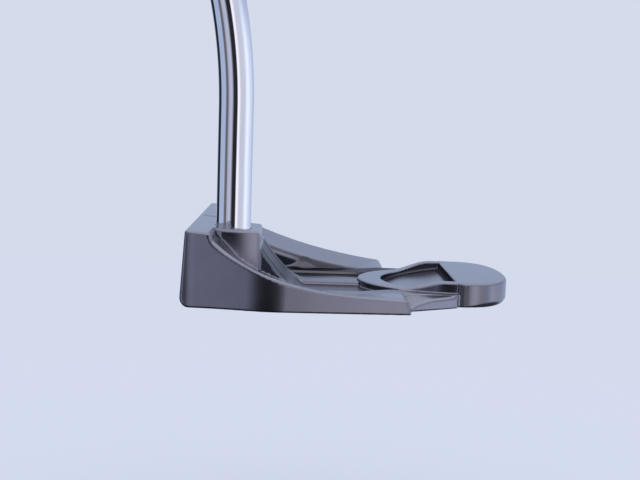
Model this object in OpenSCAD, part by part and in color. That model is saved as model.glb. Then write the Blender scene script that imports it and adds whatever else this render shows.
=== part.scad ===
// Mallet putter: a milled steel head with swept wings and a crescent ring at the tail,
// a double-bend chromed shaft and a pistol grip.
// Frame: +X from the face to the tail, +Y from heel to toe, +Z up, ground at Z = 0.

/* [Head] */
// Width of the head across the face corners
head_w = 96; // [90:1:104]
// Depth of the head from leading edge to tail
head_d = 90.1; // [88:0.1:92]
// Height of the topline above the ground
topline_h = 20.8; // [19:0.1:23]
// Loft of the face in degrees
loft = 3.5; // [2:0.5:5]
// Fall of the top towards the rear in degrees
top_fall = 4.5; // [2:0.5:6]
// Thickness of the blade from face to back
blade_t = 8.3; // [7.5:0.1:10]
// How far the sides swell out beyond the face corners
side_swell = 3.9; // [2:0.1:5]
// Rise of the sole at heel and toe
sole_rise = 1.05; // [0.4:0.05:2]

/* [Wings] */
// Height of the wing rims at their rear ends
wing_end_h = 4.6; // [4.4:0.1:6]
// Fall of a wing's top from its rim to the pocket
wing_fall = 2.3; // [1.5:0.1:3]
// Distance from the centre plane to the inner edge of a wing
wing_in = 29; // [28:0.5:31]
// Length over which the heel rim swoops down
heel_swoop = 14; // [12:0.5:18]
// Length over which the toe rim swoops down
toe_swoop = 27; // [22:0.5:30]

/* [Pockets and spine] */
// Height of the shelf beside the pockets
shelf_h = 2.9; // [2.6:0.1:3.3]
// Height of the pocket floor
floor_h = 2.2; // [1.5:0.1:2.6]
// Half width of the pockets, spine included
pocket_half = 21; // [18:0.5:24]
// Half width of the spine
spine_half = 4; // [3:0.5:6]
// Height of the spine
spine_h = 3.1; // [2.7:0.05:3.6]

/* [Ring] */
// Outer radius of the ring's front
ring_r = 26; // [25:0.1:27]
// Half width of the ring's pocket
ring_in_half = 22.3; // [20:0.1:23]
// Depth of the ring's pocket from its straight rear wall
ring_in_d = 19.2; // [17:0.1:21]
// Height of the ring's low front
ring_front_h = 4.1; // [3.6:0.1:4.4]
// Height of the ring's tail
ring_tail_h = 6.65; // [6:0.05:7.5]

/* [Shaft and boss] */
// Heel face of the shaft boss, from the centre plane
boss_y = 33; // [31:0.5:35]
// Where the shaft enters the head, from the centre plane
shaft_y = 24; // [22:0.5:25]
// Diameter of the shaft's lower end
tip_d = 9.4; // [9:0.1:9.8]
// Diameter of the shaft under the grip
butt_d = 15; // [14:0.1:15.4]
// Wall of the shaft
shaft_wall = 0.6; // [0.5:0.1:1.2]
// Lean of the shaft's lower end towards the heel in degrees
tip_lean = 5; // [3:0.5:8]
// Lie angle of the shaft in degrees
lie = 70; // [68:0.5:73]
// Angle of the double bend in degrees
bend_angle = 17; // [14:0.5:18]
// Radius of each bend
bend_r = 138; // [100:1:150]
// Length of shaft above the second bend
upper_len = 705; // [620:5:760]
// Steps in the upper shaft
steps = 8; // [4:1:10]

/* [Grip] */
// Length of the grip without its cap
grip_len = 262; // [240:1:280]
// Half width of the grip at the butt
grip_half_w = 13.2; // [12:0.1:15]
// Depth of the pistol bulge behind the shaft axis
grip_back = 16.5; // [14:0.1:19]

/* [Insert and weights] */
// Length of the face insert
insert_w = 66; // [56:1:70]
// Height of the face insert
insert_h = 12.6; // [10:0.1:13]
// Thickness of the face insert
insert_t = 2.6; // [2:0.1:3.2]
// Radius of a sole weight's head
weight_r = 7; // [6:0.1:7]
// Distance of the sole weights from the centre plane
weight_y = 37; // [36:0.5:39]

/* [Hidden] */
$fn = 96;

lead_x = -29.4;
tail_x = lead_x + head_d;
back_x = lead_x + blade_t;
high = 25;
wide = 60;
ring_x = 44.3;
gap = 0.3;
over = 0.1;

// Shaft boss and the ramp that braces it
boss_x = -9.6;
boss_toe = -7;
boss_bend_x = -16.6;
boss_turn = 8.5;
boss_fillet = 1.5;
ramp_top = 14.9;
ramp_run = 12.8;
ramp_power = 1.6;
foot_x = -1;
foot_run = 4;
bowl_r = 9;

// Outline of the head seen from above: [x, y, corner radius], heel half from face to tail
apex_x = -7;
wing_x = 30.2;
notch_y = 38.5;
block_x = 43;
block_y = 28.2;
tail_half = ring_r + 0.3;
tail_run = tail_x - ring_x;
tail_power = 2 / 2.3;
end_half = head_w / 2 - 0.5;
heel_corners = [
    [lead_x - 3, -end_half, 0],
    [apex_x, -head_w / 2 - side_swell, 35],
    [wing_x, -end_half, 1.2],
    [wing_x + 0.8, -notch_y, 1.5],
    [block_x, -block_y, 2],
    [ring_x - 0.7, -tail_half, 0]];

// Edges of the billet, and the flat middle of the sole
lead_round = 2.6;
tail_round = 1.8;
sole_flat = 24;

// Rims of the wings: where they leave the blade, and how far they drop, heel then toe
rim_x = -13.8;
rim_drop = [9, 13];
rim_low = [wing_end_h - 0.3, wing_end_h - 3.1];
rim_swoop = [heel_swoop, toe_swoop];
fall_x = -20.5;
fall_run = 5;
ledge = 0.35;

// Slanted ends of the wings, heel then toe, and the notches behind them
wing_cut_x = [29.1, 27.1];
wing_cut_h = 5.4;
wing_cut_run = 1.5;
notch_h = 0.9;
notch_side = block_y + 0.3;
notch_reach = 10;
notch_slope = 0.97;
lip_x = wing_x + 0.7;
lip_run = 3.6;
lip_low = 1.9;
lip_h = 2.6;
lip_rear_h = 3;

// Shoulders beside the ring, the rise of the ring's top and the fall of its pocket
shoulder_x = 24;
shoulder = [40, 12, 3.7];
rise_x0 = 29.5;
rise_x1 = 41.5;
pocket_x0 = 20;
pocket_x1 = 46;
pocket_low = 1.4;
pocket_high = 4.6;

// Shaft path
shaft_x = -17;
entry_z = 19.7;
bend_z = 52;
middle_len = 16;
tip_depth = 14;
bore_clear = 0.2;
bore_len = 40;

// Straight lengths are a hair thicker than the bends and reach a little way over their ends
lap = 0.3;
hair = 0.01;

d_low = unit([0, -tan(tip_lean), 1]);
d_mid = unit([-tan(bend_angle), -tan((tip_lean + 90 - lie) / 2), 1]);
d_up = unit([0, -tan(90 - lie), 1]);
p_entry = [shaft_x, -shaft_y, entry_z];
p_tip = p_entry - tip_depth * d_low;
p_bend1 = p_entry + (bend_z - entry_z) / d_low.z * d_low;
p_mid = bend_end(p_bend1, d_low, d_mid);
p_bend2 = p_mid + middle_len * d_mid;
p_upper = bend_end(p_bend2, d_mid, d_up);

// Stepped upper shaft
step_start = 150;
step_end = upper_len - grip_len - 20;

// Grip sections, at its mouth and at its butt
mouth_half_w = 9.8;
mouth_front = 9.4;
mouth_back = 9.8;
butt_front = 11.4;
butt_back = 13;
back_swell = grip_back - 12.4;
tape_t = 0.2;
tape_end = 4;
cap_t = 4;
vent_r = 1.2;
rings = 24;
sides = 36;

insert_z = 10.9;
insert_tape_t = 0.3;
insert_fit = 0.2;
groove_pitch = 1.25;
groove_w = 0.6;
groove_deep = 0.4;
groove_reach = 4;
weight_x = -16;
weight_head_h = 3.6;
weight_stud_r = 4;
weight_stud_h = 4.4;
weight_low = 0.45;
hex_r = 2.6;
hex_deep = 2.6;
pin_hole_r = 0.7;
pin_hole_at = 5;
sight_w = 2.4;
sight_from = 1.6;
sight_len = 4.2;
sight_depth = 0.6;

function unit(v) = v / norm(v);
function blend(t) = let (c = min(1, max(0, t))) c * c * (3 - 2 * c);
function mix(a, b, t) = a + (b - a) * t;

// A corner b of an outline, between points a and c, turned into an arc of radius r
function corner_arc(a, b, c, r, n = 6) =
    let (u = unit(a - b), v = unit(c - b), half = acos(u * v) / 2,
         centre = b + unit(u + v) * r / sin(half),
         from = b + u * r / tan(half) - centre,
         to = b + v * r / tan(half) - centre,
         a0 = atan2(from.y, from.x),
         turn = (atan2(to.y, to.x) - a0 + 540) % 360 - 180)
    [for (i = [0:n]) centre + r * [cos(a0 + turn * i / n), sin(a0 + turn * i / n)]];

function flat2(p) = [p.x, p.y];
function rounded(corners) = let (last = len(corners) - 1)
    [for (i = [0:last]) each
        i == 0 || i == last || corners[i].z == 0 ? [flat2(corners[i])] :
        corner_arc(flat2(corners[i - 1]), flat2(corners[i]), flat2(corners[i + 1]), corners[i].z)];
function mirrored(points) = [for (i = [len(points) - 1:-1:0]) [points[i].x, -points[i].y]];

function tail_arc(n = 28) = [for (i = [1:n - 1]) let (a = -90 + 180 * i / n)
    [ring_x + tail_run * pow(cos(a), tail_power),
     tail_half * sign(a) * pow(abs(sin(a)), tail_power)]];

// Rim height along a wing, and the height of the wing's inner edge
function rim(x, i) = rim_low[i] + rim_drop[i] * exp((rim_x - x) / rim_swoop[i]);
function inner_edge(x, i) =
    max(shelf_h + ledge, rim(x, i) - wing_fall * blend((x - fall_x) / fall_run));

// End of an arc of the bend radius that starts at p along d and leaves along e
function side_of(d, e) = unit(e - (d * e) * d);
function bend_end(p, d, e) = let (a = acos(d * e))
    p + bend_r * (sin(a) * d + (1 - cos(a)) * side_of(d, e));

// Grip: half width, front and back of its section at t from mouth (0) to butt (1)
function grip_section(t) =
    let (w = mix(mouth_half_w, grip_half_w, blend(t * 1.2)),
         front = mix(mouth_front, butt_front, blend(t * 1.3)),
         back = mix(mouth_back, butt_back, t) + back_swell * blend(t / 0.6) * blend((1.12 - t) / 0.35))
    [for (i = [0:sides - 1]) let (a = 360 * i / sides, up = sin(a) >= 0, e = up ? 0.55 : 0.95)
        [w * sign(cos(a)) * pow(abs(cos(a)), e),
         (up ? front : back) * sign(sin(a)) * pow(abs(sin(a)), e)]];

// A solid skinned over a list of sections with the same number of points
module skin(sections) {
    n = len(sections[0]);
    m = len(sections);
    points = [for (s = sections) each s];
    walls = [for (i = [0:m - 2]) for (j = [0:n - 1]) let (k = (j + 1) % n)
        each [[i * n + j, (i + 1) * n + k, i * n + k], [i * n + j, (i + 1) * n + j, (i + 1) * n + k]]];
    caps = [[for (j = [0:n - 1]) j], [for (j = [n - 1:-1:0]) (m - 1) * n + j]];
    polyhedron(points, concat(walls, caps));
}

// A side profile, drawn in X and Z, run from y0 to y1
module along_y(y0, y1) translate([0, y1, 0]) rotate([90, 0, 0]) linear_extrude(y1 - y0) children();

module on_face() translate([lead_x, 0, 0]) rotate([0, loft, 0]) children();
module on_top() translate([lead_x + topline_h * tan(loft), 0, topline_h]) rotate([0, top_fall, 0]) children();
module on_shaft(p, lean) translate(p) rotate([lean, 0, 0]) children();

module head_plan() {
    heel = rounded(heel_corners);
    polygon(concat(heel, tail_arc(), mirrored(heel)));
}

// Side view of the billet: lofted face, rounded leading edge and rounded tail
module side_profile() {
    crown = [lead_x + high * tan(loft), high];
    lead = corner_arc(crown, [lead_x, 0], [0, 0], lead_round);
    tail = corner_arc([0, 0], [tail_x, 0], [tail_x + 1, high], tail_round);
    polygon(concat([crown], lead, tail, [[tail_x + 1, high]]));
}

// Front view of the billet: flat middle of the sole, rising to heel and toe
module camber_profile(n = 7) {
    run = head_w / 2 - sole_flat;
    half = [for (i = [0:n]) let (y = mix(sole_flat, wide, i / n))
        [y, sole_rise * pow((y - sole_flat) / run, 2)]];
    polygon(concat([for (i = [n:-1:0]) [-half[i].x, half[i].y]], half, [[wide, high], [-wide, high]]));
}

module billet() intersection() {
    linear_extrude(high) head_plan();
    along_y(-wide, wide) side_profile();
    translate([-wide, 0, 0]) rotate([90, 0, 90]) linear_extrude(3 * wide) camber_profile();
}

// Everything over the falling top plane, from h above it
module over_top(h = 0) on_top() translate([-wide, -wide, h]) cube([3 * wide, 2 * wide, 2 * high]);

// Space over a wing: a ruled surface from the rim down to the pocket. On the heel side its inner
// wall goes round the shaft boss, with a fillet where boss and blade meet and a slight turn behind it.
function boss_wall(x) = boss_y - max(0, x - boss_bend_x) * tan(boss_turn) + (x > back_x + boss_fillet ? 0 :
    boss_fillet - sqrt(max(0, pow(boss_fillet, 2) - pow(back_x + boss_fillet - x, 2))));
function inner_wall(x, i) = i == 1 || x > boss_x ? wing_in : boss_wall(x);
function spread(a, b, n) = [for (i = [0:n]) mix(a, b, i / n)];
module wing_space(i) {
    side = 2 * i - 1;
    stations = concat(spread(back_x, boss_x, 12), spread(boss_x + over / 2, wing_x + 4, 22));
    skin([for (x = stations) let (
            y_in = inner_wall(x, i),
            slope = (rim(x, i) - inner_edge(x, i)) / (head_w / 2 - wing_in),
            z_in = inner_edge(x, i) + slope * (y_in - wing_in),
            z_out = inner_edge(x, i) + slope * (wide - wing_in),
            section = [[x, side * wide, z_out], [x, side * y_in, z_in], [x, side * y_in, high],
                       [x, side * wide, high]])
        i == 1 ? [for (k = [3:-1:0]) section[k]] : section]);
}

// Pocket profile behind the blade, with a bowl where wall and floor meet
module bowl_profile(z) {
    bowl = corner_arc([back_x, high], [back_x, z], [wide, z], bowl_r, 9);
    polygon(concat([[back_x, high]], bowl, [[wide, z], [wide, high]]));
}

// Pocket profile behind the boss, with the ramp that braces it and runs out into the floor
function ramp(x) = mix(shelf_h, ramp_top, pow(1 - min(1, (x - boss_x) / ramp_run), ramp_power));
module ramp_profile(z) {
    curve = [for (x = spread(boss_x, boss_x + ramp_run, 16))
        [x, ramp(x) + (z - shelf_h) * blend((x - foot_x) / foot_run)]];
    polygon(concat([[boss_x, high]], curve, [[wide, z], [wide, high]]));
}

module ring_plan() {
    circle(ring_r);
    polygon(concat([[0, -tail_half]], [for (p = tail_arc()) p - [ring_x, 0]], [[0, tail_half]]));
}

module ring_tower() translate([ring_x, 0, 0]) linear_extrude(high) ring_plan();

// Shelf and pocket on each side of the spine, with the shoulders beside the ring left standing
module pocket_space() difference() {
    union() {
        along_y(spine_half, wing_in + 2 * over) bowl_profile(shelf_h);
        along_y(spine_half, pocket_half) bowl_profile(floor_h);
        along_y(-wing_in - 2 * over, spine_half + over) ramp_profile(shelf_h);
        along_y(-pocket_half, -spine_half) ramp_profile(floor_h);
        along_y(-spine_half - over, spine_half + over) ramp_profile(spine_h);
        along_y(boss_toe, spine_half + over)
            polygon([[back_x, ramp_top], [boss_x + over, ramp_top], [boss_x + over, high], [back_x, high]]);
    }
    ring_tower();
    for (flip = [0, 1]) mirror([0, flip, 0]) translate([shoulder_x, pocket_half - over, 0])
        cube(shoulder);
}

// The ring's top: low in front, rising in an S to the tail
module ring_top_profile(n = 10) {
    rise = [for (i = [0:n]) let (t = i / n)
        [mix(rise_x0, rise_x1, t), mix(ring_front_h, ring_tail_h, blend(t))]];
    polygon(concat([[0, ring_front_h]], rise, [[2 * wide, ring_tail_h], [2 * wide, high], [0, high]]));
}

module ring_space() intersection() {
    along_y(-wide, wide) ring_top_profile();
    translate([ring_x, 0, 0]) linear_extrude(high) {
        circle(ring_r + 4 * over);
        translate([0, -wide]) square([wide, 2 * wide]);
    }
}

// The ring's half-oval pocket, its floor rising to the tail
module ring_pocket() intersection() {
    translate([ring_x, 0, 0]) linear_extrude(high) intersection() {
        scale([ring_in_d, ring_in_half]) circle(1);
        translate([-wide, -wide]) square([wide, 2 * wide]);
    }
    along_y(-wide, wide) polygon([[pocket_x0, pocket_low], [pocket_x1, pocket_high],
                                  [pocket_x1, high], [pocket_x0, high]]);
}

// Notch between the slanted end of a wing and the block beside the ring, whose lip rises to the rear
module notch_space(cut_x) {
    lip_start = cut_x + wing_cut_run * (wing_cut_h - lip_low) / (wing_cut_h - notch_h);
    intersection() {
        translate([wing_x + notch_reach, -notch_side]) linear_extrude(high)
            polygon([[0, 0], [-2 * notch_reach, 0], [-2 * notch_reach, -2 * notch_reach * notch_slope]]);
        along_y(-wide, 0) polygon([[cut_x, wing_cut_h], [cut_x + wing_cut_run, notch_h],
            [wide, notch_h], [wide, high], [cut_x, high]]);
    }
    along_y(-wide, -notch_side) polygon([[cut_x, wing_cut_h], [lip_start, lip_low], [lip_x, lip_low],
        [lip_x + lip_run, lip_h], [wide, lip_rear_h], [wide, high], [cut_x, high]]);
}

module stadium(w, h) {
    square([w - h, h], center = true);
    for (side = [-1, 1]) translate([side * (w - h) / 2, 0]) circle(h / 2);
}

// A plate let into the face from depth a to depth b
module face_plate(w, h, a, b) on_face() translate([a, 0, insert_z]) rotate([90, 0, 90])
    linear_extrude(b - a) stadium(w, h);

module shaft_bore() on_shaft(p_tip, tip_lean) cylinder(h = bore_len, r = tip_d / 2 + bore_clear);

module weight_pocket(side) translate([weight_x, side * weight_y, 0]) {
    translate([0, 0, -1]) cylinder(h = weight_low + weight_head_h + gap + 1, r = weight_r + gap);
    cylinder(h = weight_low + weight_head_h + weight_stud_h + 2 * gap, r = weight_stud_r + gap);
}

module sight_groove(top) on_top() translate([sight_from, -sight_w / 2, -sight_depth])
    cube([sight_len, sight_w, top]);

module head_body() color([0.33, 0.34, 0.4]) difference() {
    billet();
    over_top();
    for (i = [0, 1]) wing_space(i);
    pocket_space();
    ring_space();
    ring_pocket();
    for (flip = [0, 1]) mirror([0, flip, 0]) notch_space(wing_cut_x[flip]);
    face_plate(insert_w + insert_fit, insert_h + insert_fit, -5, insert_t + insert_tape_t);
    shaft_bore();
    for (side = [-1, 1]) weight_pocket(side);
    sight_groove(5);
}

module face_insert() color([0.2, 0.21, 0.24]) difference() {
    face_plate(insert_w, insert_h, 0, insert_t);
    on_face() for (i = [-groove_reach:groove_reach])
        translate([-1, -insert_w, insert_z + i * groove_pitch - groove_w / 2])
            cube([1 + groove_deep, 2 * insert_w, groove_w]);
}

module insert_tape() color([0.75, 0.72, 0.6])
    face_plate(insert_w, insert_h, insert_t, insert_t + insert_tape_t);

module sight_line() color([0.08, 0.08, 0.09]) sight_groove(sight_depth - 0.15);

module sole_weight(side) translate([weight_x, side * weight_y, weight_low]) difference() {
    union() {
        cylinder(h = weight_head_h, r = weight_r);
        cylinder(h = weight_head_h + weight_stud_h, r = weight_stud_r);
    }
    translate([0, 0, -1]) cylinder(h = 1 + hex_deep, r = hex_r, $fn = 6);
    for (a = [45:90:315]) rotate(a) translate([pin_hole_at, 0, -1]) cylinder(h = 2, r = pin_hole_r);
}

module heel_weight() color([0.55, 0.56, 0.6]) sole_weight(-1);
module toe_weight() color([0.55, 0.56, 0.6]) sole_weight(1);

// Wall of the tube, thicker by extra on both sides
module tube_section(extra = 0) difference() {
    circle(tip_d / 2 + extra);
    circle(tip_d / 2 - shaft_wall - extra);
}

// An arc of tube that starts at p along d and leaves along e
module tube_bend(p, d, e) {
    inward = side_of(d, e);
    centre = p + bend_r * inward;
    up = cross(-inward, d);
    multmatrix([[-inward.x, d.x, up.x, centre.x], [-inward.y, d.y, up.y, centre.y],
                [-inward.z, d.z, up.z, centre.z], [0, 0, 0, 1]])
        rotate_extrude(angle = acos(d * e)) translate([bend_r, 0]) tube_section();
}

// A straight length of tube from p along d
module tube_run(p, d, len) {
    x = unit(cross([0, 1, 0], d));
    y = cross(d, x);
    multmatrix([[x.x, y.x, d.x, p.x], [x.y, y.y, d.y, p.y], [x.z, y.z, d.z, p.z], [0, 0, 0, 1]])
        linear_extrude(len) tube_section(hair);
}

// Half section of the stepped upper shaft
module upper_section() {
    edge = [for (i = [0:steps]) let (
            z = i == 0 ? -lap : mix(step_start, step_end, (i - 1) / (steps - 1)),
            z_next = i == steps ? upper_len : mix(step_start, step_end, i / (steps - 1)),
            r = mix(tip_d, butt_d, i / steps) / 2 + hair)
        each [[r, z], [r, z_next]]];
    inner = [for (i = [len(edge) - 1:-1:0]) edge[i] - [shaft_wall + 2 * hair, 0]];
    polygon(concat(edge, inner));
}

module shaft() color([0.85, 0.87, 0.9]) union() {
    tube_run(p_tip, d_low, norm(p_bend1 - p_tip) + lap);
    tube_bend(p_bend1, d_low, d_mid);
    tube_run(p_mid - lap * d_mid, d_mid, middle_len + 2 * lap);
    tube_bend(p_bend2, d_mid, d_up);
    on_shaft(p_upper, 90 - lie) rotate_extrude() upper_section();
}

module shaft_epoxy() color([0.07, 0.07, 0.08]) difference() {
    shaft_bore();
    on_shaft(p_tip, tip_lean) translate([0, 0, -1]) cylinder(h = bore_len + 2, r = tip_d / 2 + hair);
    over_top(-gap);
}

module grip_frame() on_shaft(p_upper, 90 - lie) translate([0, 0, upper_len - grip_len]) children();

module grip_tape() color([0.8, 0.78, 0.7]) grip_frame() difference() {
    translate([0, 0, tape_end]) cylinder(h = grip_len - 2 * tape_end, r = butt_d / 2 + tape_t);
    cylinder(h = grip_len, r = butt_d / 2 + hair);
}

module grip() color([0.1, 0.1, 0.11]) grip_frame() difference() {
    skin([for (i = [0:rings]) let (t = i / rings)
        [for (p = grip_section(t)) [p.x, p.y, t * grip_len]]]);
    translate([0, 0, -1]) cylinder(h = grip_len + 2, r = butt_d / 2 + tape_t);
}

module grip_cap() color([0.13, 0.13, 0.14]) grip_frame() translate([0, 0, grip_len]) difference() {
    linear_extrude(cap_t) polygon(grip_section(1));
    translate([0, 0, -1]) cylinder(h = cap_t + 2, r = vent_r);
}

head_body();
face_insert();
insert_tape();
sight_line();
heel_weight();
toe_weight();
shaft();
shaft_epoxy();
grip_tape();
grip();
grip_cap();
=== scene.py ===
import math

import bpy
import numpy as np
from mathutils import Matrix, Vector


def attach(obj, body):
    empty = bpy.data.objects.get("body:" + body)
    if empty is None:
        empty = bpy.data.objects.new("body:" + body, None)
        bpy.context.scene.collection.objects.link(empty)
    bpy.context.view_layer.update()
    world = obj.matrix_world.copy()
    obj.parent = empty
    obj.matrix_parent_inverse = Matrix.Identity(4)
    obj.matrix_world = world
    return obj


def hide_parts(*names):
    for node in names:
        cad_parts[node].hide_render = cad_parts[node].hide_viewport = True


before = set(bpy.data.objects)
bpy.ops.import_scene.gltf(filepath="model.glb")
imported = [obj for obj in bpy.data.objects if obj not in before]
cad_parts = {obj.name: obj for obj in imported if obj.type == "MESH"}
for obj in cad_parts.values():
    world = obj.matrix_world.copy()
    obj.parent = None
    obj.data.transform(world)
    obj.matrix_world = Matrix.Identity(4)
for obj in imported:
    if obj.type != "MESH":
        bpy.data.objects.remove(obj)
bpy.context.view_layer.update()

# Head
# One block of stainless steel, milled to a blade with a shaft boss, two swept wings, stepped pockets
# and a crescent ring at the tail. It is bead-blasted and coated a dark satin grey, all edges broken.
# Its sizes are millimetres in the part's own frame: +X face to tail, +Y heel to toe, +Z up.
MM = 0.001

LEAD_X, TAIL_X = -29.4, 60.7
TOPLINE_H = 20.8
LOFT, TOP_FALL = math.radians(3.5), math.radians(4.5)
CROWN_X = LEAD_X + TOPLINE_H * math.tan(LOFT)
BACK_X = LEAD_X + 8.3
FACE_HALF = 48.0
LEAD_ROUND, TAIL_ROUND, SOLE_ROUND, FRONT_ROUND, CROWN_ROUND = 2.6, 1.9, 0.4, 0.45, 0.7
TAIL_ROUND_X, TAIL_ROUND_RUN = 46.0, 9.0
SOLE_FLAT, SOLE_RISE, SOLE_EASE, SOLE_EASE_X, SOLE_EASE_RUN = 24.0, 1.05, 0.28, -24.0, 20.0

BOSS_X, BOSS_Y, BOSS_TOE = -9.6, 33.0, -7.0
BOSS_BOW_X, BOSS_BOW = -19.5, 0.011
BOSS_FILLET, BOWL_R = 1.5, 9.0
RAMP_TOP, RAMP_RUN, RAMP_POWER = 14.9, 12.8, 1.6
FOOT_X, FOOT_RUN = -1.0, 4.0
SHELF_H, FLOOR_H, SPINE_H = 2.9, 2.2, 3.1
SHOULDER_X, SHOULDER_H = (15.0, 28.0), 3.7
POCKET_HALF, SPINE_HALF, WING_IN = 21.0, 4.0, 29.0

RIM_X = -13.8
RIM_LOW, RIM_DROP, RIM_SWOOP = (4.15, 0.7), (9.4, 13.2), (14.0, 30.0)
RIM_EASE, RIM_EASE_RUN = (1.35, 0), 5.6
WING_FALL, FALL_X, FALL_RUN, LEDGE = 2.3, -21.5, 8.0, 0.35
WING_CUT_X, WING_CUT_H, WING_CUT_SLOPE = (28.8, 26.8), 5.4, 0.42
WING_X, TOE_SHORT, NOTCH_Y, VEE_DEEP, VEE_RUN = 30.2, 2.0, 38.5, 0.8, 1.0
NOTCH_X = WING_X + 0.8
BLOCK_X, BLOCK_Y, BLOCK_END, BLOCK_STEP = 44.4, 28.2, 44.6, 0.3
LIP_X, LIP_RUN, LIP_LOW, LIP_H = 30.9, 3.6, 1.9, 2.6

RING_X, RING_R, TAIL_HALF, TAIL_POWERS = 44.3, 26.0, 26.3, (3.6, 2.2)
RISE_X, RING_FRONT_H, RING_TAIL_H = (29.5, 41.5), 4.1, 6.65
WELL_DEPTH, WELL_HALF, WELL_X, WELL_LOW, WELL_SLOPE, WELL_FILLET = 19.2, 22.3, 20.0, 1.4, 0.123, 0.9

SEAT_UP, SEAT_HALF, SEAT_R, SEAT_DEEP = 10.9, 26.7, 6.4, 2.9
BORE_X, BORE_Y, BORE_Z, BORE_R, BORE_DEEP, BORE_LEAN = -17.0, -24.0, 19.7, 4.9, 14.0, math.radians(5)
WEIGHT_X, WEIGHT_Y = -16.0, 37.0
WEIGHT_SEAT_R, WEIGHT_SEAT_H, STUD_HOLE_R, STUD_HOLE_H = 7.3, 4.35, 4.3, 9.05
SIGHT_BACK, SIGHT_HALF_LEN, SIGHT_HALF_W, SIGHT_DEEP = 3.7, 2.1, 1.2, 0.6

EDGE_R, INNER_R, WING_FILLET, TOE_INNER_R = 0.35, 0.3, 0.4, 1.8
SCOOP_X, SCOOP_RUN, SCOOP_R = 3.0, 3.2, 4.0
RIM_R, RIM_FRONT_R, RIM_FRONT_X, RIM_FRONT_RUN = 0.75, 0.45, -20.0, 9.0
NOTCH_EDGE, SEAT_EDGE, HOLE_EDGE = 0.9, 0.5, 0.25


def ease(t):
    t = np.clip(t, 0, 1)
    return t * t * (3 - 2 * t)


def meet(a, b, r):
    """Metal that lies in both a and b, with the edge between them rounded to radius r."""
    return np.minimum(-r, np.maximum(a, b)) + np.hypot(np.maximum(a + r, 0), np.maximum(b + r, 0))


def join(a, b, r):
    """Metal of a and b together, with the corner between them filled to radius r."""
    return np.maximum(r, np.minimum(a, b)) - np.hypot(np.maximum(r - a, 0), np.maximum(r - b, 0))


def under(height, x, y, z, step=0.01):
    """Distance below a surface that is given by its height over x and y."""
    slope_x = (height(x + step, y) - height(x - step, y)) / (2 * step)
    slope_y = (height(x, y + step) - height(x, y - step)) / (2 * step)
    return (z - height(x, y)) / np.sqrt(1 + slope_x ** 2 + slope_y ** 2)


def corner_arc(a, b, c, r, n):
    """Points of the arc of radius r that replaces corner b between a and c."""
    u, v = (a - b).normalized(), (c - b).normalized()
    half = u.angle(v) / 2
    centre = b + (u + v).normalized() * (r / math.sin(half))
    start = b + u * (r / math.tan(half)) - centre
    turn = start.angle_signed(b + v * (r / math.tan(half)) - centre)
    return [centre + Matrix.Rotation(-turn * i / n, 2) @ start for i in range(n + 1)]


def half_outline():
    """The heel half of the head's outline from above, from the face to the middle of the tail."""
    corners = [(Vector((LEAD_X - 2, -FACE_HALF + 1.9)), 0, 1),
               (Vector((LEAD_X + 2.6, -FACE_HALF - 0.47)), 9, 10), (Vector((-7, -FACE_HALF - 3.9)), 35, 30),
               (Vector((WING_X, -FACE_HALF + 0.5)), 1.2, 6), (Vector((NOTCH_X, -NOTCH_Y)), 1.5, 6),
               (Vector((BLOCK_X, -BLOCK_Y)), 1.5, 8), (Vector((BLOCK_END, -TAIL_HALF)), 0.3, 6),
               (Vector((BLOCK_END + 1.6, -TAIL_HALF)), 0, 1)]
    points = [corners[0][0]]
    for (a, _, _), (b, r, n), (c, _, _) in zip(corners, corners[1:], corners[2:]):
        points += corner_arc(a, b, c, r, n)
    points.append(corners[-1][0])
    for i in range(2, 61):
        a = math.radians(1.5 * i)
        points.append(Vector((RING_X + (TAIL_X - RING_X) * math.sin(a) ** (2 / TAIL_POWERS[0]),
                              -TAIL_HALF * max(math.cos(a), 0) ** (2 / TAIL_POWERS[1]))))
    return points


OUTLINE = half_outline()


def outline_distance(x, y):
    """Distance to the outline, negative inside it: both sides are alike, but the toe wing is shorter."""
    x, y = np.broadcast_arrays(x + TOE_SHORT * ease((y - NOTCH_Y) / 6), -np.abs(y))
    nearest = np.full(x.shape, np.inf)
    inside = np.zeros(x.shape, bool)
    for a, b in zip(OUTLINE, OUTLINE[1:]):
        run_x, run_y = b.x - a.x, b.y - a.y
        off_x, off_y = x - a.x, y - a.y
        t = np.clip((off_x * run_x + off_y * run_y) / (run_x ** 2 + run_y ** 2), 0, 1)
        nearest = np.minimum(nearest, (off_x - t * run_x) ** 2 + (off_y - t * run_y) ** 2)
        if run_x:
            inside ^= ((a.x > x) != (b.x > x)) & (off_y > run_y * off_x / run_x)
    return np.where(inside, -1, 1) * np.sqrt(nearest)


def ramp(base):
    """Height of the curved brace behind the boss, which runs out into a floor of height base."""
    def height(x, y):
        t = np.clip((x - BOSS_X) / RAMP_RUN, 0, 1)
        brace = SHELF_H + (RAMP_TOP - SHELF_H) * (1 - t) ** RAMP_POWER
        return brace + (base - SHELF_H) * ease((x - FOOT_X) / FOOT_RUN) + 0 * y
    return height


def wing_top(toe):
    """Height of a wing's top: a rim that swoops down to the rear, and a fall to the pocket."""
    def height(x, y):
        rim = RIM_LOW[toe] + RIM_DROP[toe] * np.exp((RIM_X - x) / RIM_SWOOP[toe])
        rim = rim - RIM_EASE[toe] * np.exp((BACK_X - x) / RIM_EASE_RUN)
        inner = np.maximum(SHELF_H + LEDGE, rim - WING_FALL * ease((x - FALL_X) / FALL_RUN))
        return inner + (rim - inner) * (np.abs(y) - WING_IN) / (FACE_HALF - WING_IN)
    return height


def ring_height(x):
    """Height of the ring's top, which rises to the tail."""
    return RING_FRONT_H + (RING_TAIL_H - RING_FRONT_H) * ease((x - RISE_X[0]) / (RISE_X[1] - RISE_X[0]))


def well_oval(x, y):
    """Distance to the oval of the pocket in the ring."""
    return (np.hypot((x - RING_X) / WELL_DEPTH, y / WELL_HALF) - 1) * WELL_DEPTH


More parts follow.
